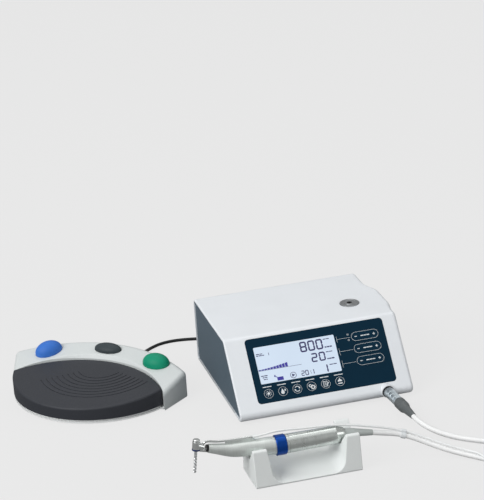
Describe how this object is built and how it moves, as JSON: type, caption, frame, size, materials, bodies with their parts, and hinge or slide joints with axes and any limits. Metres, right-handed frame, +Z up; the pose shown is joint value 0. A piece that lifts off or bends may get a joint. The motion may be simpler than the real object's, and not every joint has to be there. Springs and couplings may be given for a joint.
{
  "type": "dental implant motor",
  "caption": "Table-top implant motor: console with slanted display and key panel, contra-angle handpiece in its cradle, foot control with pedal and domed buttons, and coiled cords.",
  "frame": {"origin": "on the table plane, under the middle of everything but the cords, their plugs, clip and spike", "axes": "+X to the right along the console's front, +Y to the back, +Z up"},
  "size_m": [0.6769, 0.7437, 0.0987],
  "materials": {
    "casing": "satin",
    "base_tray": "satin",
    "side_inset": "satin",
    "overlay": "gloss",
    "key": "satin",
    "display": "gloss",
    "circuit_board": "satin",
    "screw_steel": "satin",
    "rubber": "matte",
    "dark_plastic": "satin",
    "rod_socket_steel": "satin",
    "pump_plastic": "satin",
    "handpiece_steel": "satin",
    "rotor_steel": "satin",
    "ring_blue": "anodised",
    "head_steel": "polished",
    "drill_steel": "ground",
    "cradle": "satin",
    "boot_grey": "matte",
    "plug_grey": "satin",
    "cord_white": "matte",
    "tube_silicone": "gloss",
    "cable_black": "matte",
    "pedal": "matte",
    "foot_shell": "satin",
    "button_blue": "gloss",
    "button_grey": "gloss",
    "button_green": "gloss",
    "spring_steel": "satin",
    "spike_plastic": "gloss"
  },
  "bodies": {
    "main": {"blue_band": "ring_blue", "case_base": "base_tray", "case_screws": "screw_steel", "case_upper": "casing", "contra_angle_sheath": "handpiece_steel", "control_board": "circuit_board", "foot_base": "foot_shell", "foot_board": "circuit_board", "foot_cable": "cable_black", "foot_cable_boot": "cable_black", "foot_cable_coil": "cable_black", "foot_cable_tail": "cable_black", "foot_housing": "foot_shell", "foot_plug": "dark_plastic", "foot_socket": "dark_plastic", "handpiece_cradle": "cradle", "head_housing": "head_steel", "irrigation_spike": "spike_plastic", "irrigation_tube": "tube_silicone", "irrigation_tube_coil": "tube_silicone", "lcd_module": "display", "mains_inlet": "dark_plastic", "motor_boot": "boot_grey", "motor_cord_coil": "cord_white", "motor_cord_hand_side": "cord_white", "motor_cord_plug_side": "cord_white", "motor_housing": "handpiece_steel", "motor_plug": "plug_grey", "motor_socket": "dark_plastic", "panel_overlay": "overlay", "pedal_spring": "spring_steel", "power_supply": "circuit_board", "pump_bed": "pump_plastic", "rubber_feet": "rubber", "side_panel_left": "side_inset", "side_panel_right": "side_inset", "spray_pipe": "head_steel", "stand_rod_socket": "rod_socket_steel", "tube_clip": "spike_plastic"},
    "round_key_1": {"round_key_1": "key"},
    "round_key_2": {"round_key_2": "key"},
    "round_key_3": {"round_key_3": "key"},
    "round_key_4": {"round_key_4": "key"},
    "round_key_5": {"round_key_5": "key"},
    "round_key_6": {"round_key_6": "key"},
    "rocker_key_1": {"rocker_key_1": "key"},
    "rocker_key_2": {"rocker_key_2": "key"},
    "rocker_key_3": {"rocker_key_3": "key"},
    "mains_switch": {"mains_switch": "dark_plastic"},
    "pump_rotor": {"pump_rotor": "pump_plastic"},
    "pump_door": {"pump_door": "side_inset"},
    "foot_pedal": {"foot_pedal": "pedal"},
    "foot_button_blue": {"foot_button_blue": "button_blue"},
    "foot_button_grey": {"foot_button_grey": "button_grey"},
    "foot_button_green": {"foot_button_green": "button_green"},
    "head_push_button": {"head_push_button": "head_steel"},
    "motor_rotor": {"motor_rotor": "rotor_steel"},
    "neck_shaft": {"neck_shaft": "rotor_steel"},
    "chuck": {"chuck_spindle": "head_steel", "implant_drill": "drill_steel"}
  },
  "joints": [
    {"name": "round_key_1_press", "type": "slide", "parent": "main", "child": "round_key_1", "axis": [0, 0.7749, -0.632], "range_m": [0, 0.0004], "stiffness_N_per_m": 1500, "springref_m": -0.0002},
    {"name": "round_key_2_press", "type": "slide", "parent": "main", "child": "round_key_2", "axis": [0, 0.7749, -0.632], "range_m": [0, 0.0004], "stiffness_N_per_m": 1500, "springref_m": -0.0002},
    {"name": "round_key_3_press", "type": "slide", "parent": "main", "child": "round_key_3", "axis": [0, 0.7749, -0.632], "range_m": [0, 0.0004], "stiffness_N_per_m": 1500, "springref_m": -0.0002},
    {"name": "round_key_4_press", "type": "slide", "parent": "main", "child": "round_key_4", "axis": [0, 0.7749, -0.632], "range_m": [0, 0.0004], "stiffness_N_per_m": 1500, "springref_m": -0.0002},
    {"name": "round_key_5_press", "type": "slide", "parent": "main", "child": "round_key_5", "axis": [0, 0.7749, -0.632], "range_m": [0, 0.0004], "stiffness_N_per_m": 1500, "springref_m": -0.0002},
    {"name": "round_key_6_press", "type": "slide", "parent": "main", "child": "round_key_6", "axis": [0, 0.7749, -0.632], "range_m": [0, 0.0004], "stiffness_N_per_m": 1500, "springref_m": -0.0002},
    {"name": "rocker_key_1_tilt", "type": "hinge", "parent": "main", "child": "rocker_key_1", "pos_m": [0.206, 0.00206, 0.07656], "axis": [0, 0.632, 0.7749], "range_deg": [-1.5, 1.5], "stiffness_Nm_per_rad": 0.6},
    {"name": "rocker_key_2_tilt", "type": "hinge", "parent": "main", "child": "rocker_key_2", "pos_m": [0.206, -0.009, 0.063], "axis": [0, 0.632, 0.7749], "range_deg": [-1.5, 1.5], "stiffness_Nm_per_rad": 0.6},
    {"name": "rocker_key_3_tilt", "type": "hinge", "parent": "main", "child": "rocker_key_3", "pos_m": [0.206, -0.02006, 0.04944], "axis": [0, 0.632, 0.7749], "range_deg": [-1.5, 1.5], "stiffness_Nm_per_rad": 0.6},
    {"name": "mains_switch_rock", "type": "hinge", "parent": "main", "child": "mains_switch", "pos_m": [0.163, 0.182, 0.034], "axis": [1, 0, 0], "range_deg": [0, 16]},
    {"name": "pump_rotor_spin", "type": "hinge", "parent": "main", "child": "pump_rotor", "pos_m": [0.236, 0.079, 0.051], "axis": [1, 0, 0], "continuous": true},
    {"name": "pump_door_swing", "type": "hinge", "parent": "main", "child": "pump_door", "pos_m": [0.2574, 0.096, 0.051], "axis": [0, 0, 1], "range_deg": [0, 100]},
    {"name": "foot_pedal_tilt", "type": "hinge", "parent": "main", "child": "foot_pedal", "pos_m": [-0.13495, 0.1514, 0.015], "axis": [0.7705, -0.6374, 0], "range_deg": [0, 1.25], "stiffness_Nm_per_rad": 40, "springref_deg": -1.15, "deforming": ["pedal_spring"]},
    {"name": "foot_button_blue_press", "type": "slide", "parent": "main", "child": "foot_button_blue", "axis": [0.137, 0.1656, -0.9766], "range_m": [0, 0.0025], "stiffness_N_per_m": 900, "springref_m": -0.001},
    {"name": "foot_button_grey_press", "type": "slide", "parent": "main", "child": "foot_button_grey", "axis": [0.137, 0.1656, -0.9766], "range_m": [0, 0.0025], "stiffness_N_per_m": 900, "springref_m": -0.001},
    {"name": "foot_button_green_press", "type": "slide", "parent": "main", "child": "foot_button_green", "axis": [0.137, 0.1656, -0.9766], "range_m": [0, 0.0025], "stiffness_N_per_m": 900, "springref_m": -0.001},
    {"name": "head_push_button_press", "type": "slide", "parent": "main", "child": "head_push_button", "axis": [-0.1219, 0, -0.9925], "range_m": [0, 0.0006], "stiffness_N_per_m": 2500, "springref_m": -0.0004},
    {"name": "motor_rotor_spin", "type": "hinge", "parent": "main", "child": "motor_rotor", "pos_m": [0.061, -0.209, 0.0407], "axis": [1, 0, 0], "continuous": true},
    {"name": "neck_shaft_spin", "type": "hinge", "parent": "main", "child": "neck_shaft", "pos_m": [-0.0715, -0.209, 0.0508], "axis": [0.9703, 0, -0.2419], "continuous": true},
    {"name": "chuck_spin", "type": "hinge", "parent": "main", "child": "chuck", "pos_m": [-0.0864, -0.209, 0.0608], "axis": [0.1219, 0, 0.9925], "continuous": true}
  ],
  "couplings": [
    {"joint": "neck_shaft_spin", "follows": "motor_rotor_spin", "ratio": 0.2},
    {"joint": "chuck_spin", "follows": "motor_rotor_spin", "ratio": 0.05}
  ]
}
